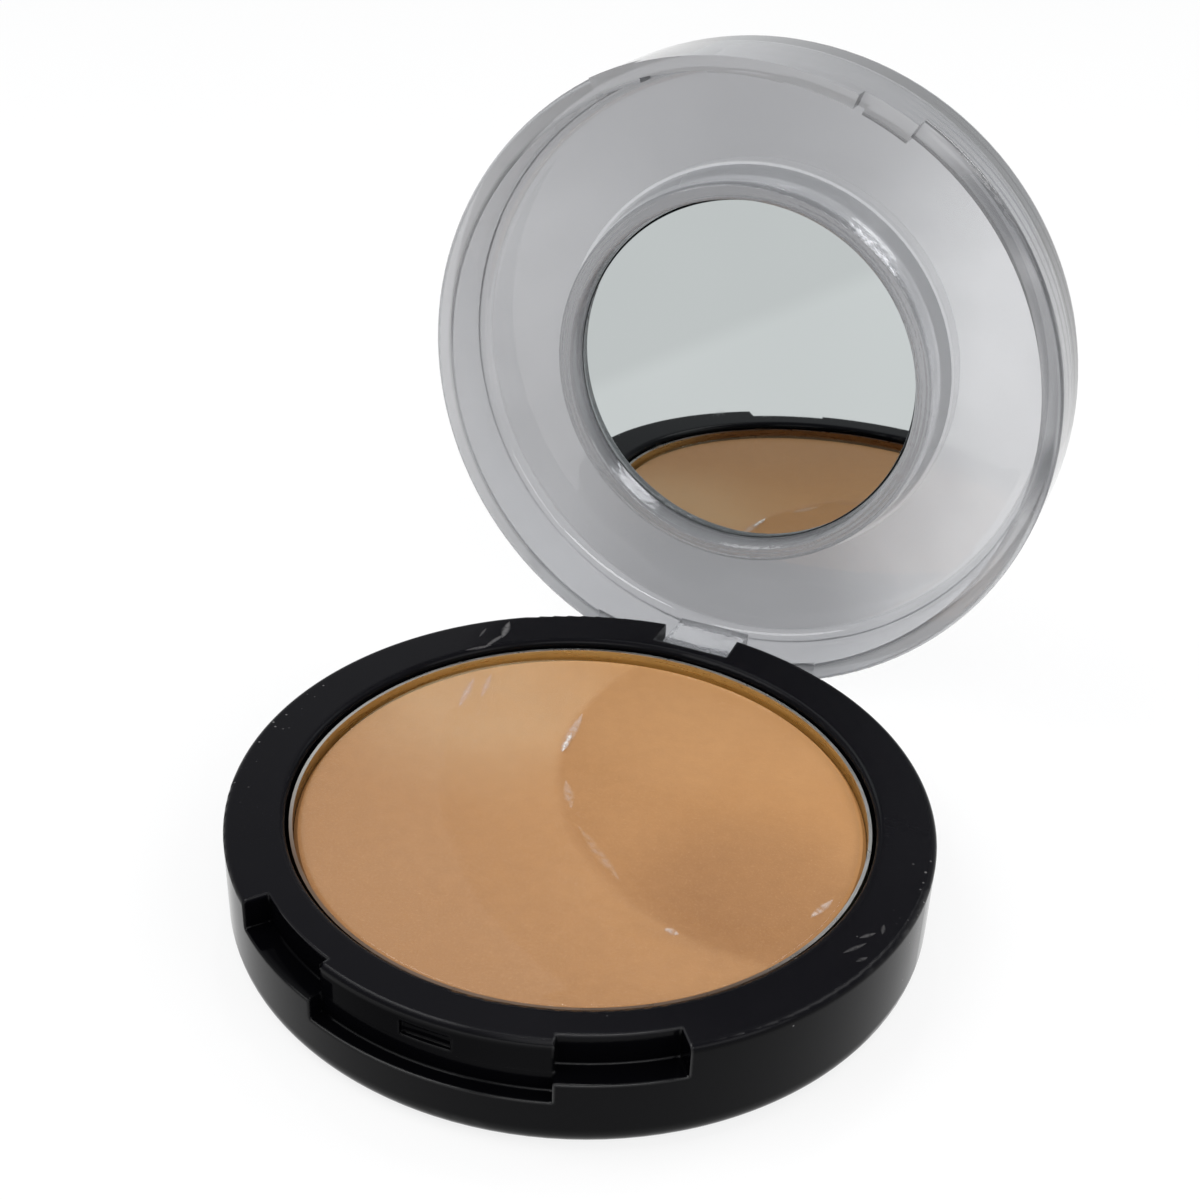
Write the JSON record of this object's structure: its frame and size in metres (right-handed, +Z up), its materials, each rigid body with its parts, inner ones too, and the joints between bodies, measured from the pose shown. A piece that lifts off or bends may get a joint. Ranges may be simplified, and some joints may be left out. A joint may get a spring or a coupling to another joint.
{
  "type": "powder compact",
  "caption": "Round pressed-powder compact: black base with powder pan and stepped front catch, and a deep clear hinged lid carrying a mirror on a raised collar.",
  "frame": {"origin": "centre of the underside, in the plane of the foot ring", "axes": "+Z up out of the powder, +Y towards the hinge, -Y towards the front catch"},
  "size_m": [0.0726, 0.0887, 0.078],
  "materials": {
    "base_plastic": "black, semi-gloss, with faint handling scratches",
    "cover_plastic": "black, matt",
    "pan_glue": "hot-melt adhesive",
    "pan_metal": "bright pressed sheet",
    "powder": "matt pressed powder",
    "film": "thin clear film",
    "pin_steel": "drawn wire",
    "lid_plastic": "clear, polished, slightly grey",
    "tape": "double-sided adhesive ring",
    "mirror_glass": "silvered glass"
  },
  "bodies": {
    "base": {"base_body": "base_plastic", "bottom_cover": "cover_plastic", "pan_adhesive": "pan_glue", "powder_pan": "pan_metal", "powder_cake": "powder", "clear_film": "film", "hinge_pin": "pin_steel"},
    "lid": {"lid_shell": "lid_plastic", "mirror_tape": "tape", "mirror": "mirror_glass"}
  },
  "joints": [
    {"name": "lid_hinge", "type": "hinge", "parent": "base", "child": "lid", "pos_m": [0, 0.0332, 0.0085], "axis": [1, 0, 0], "range_deg": [0, 94]}
  ]
}
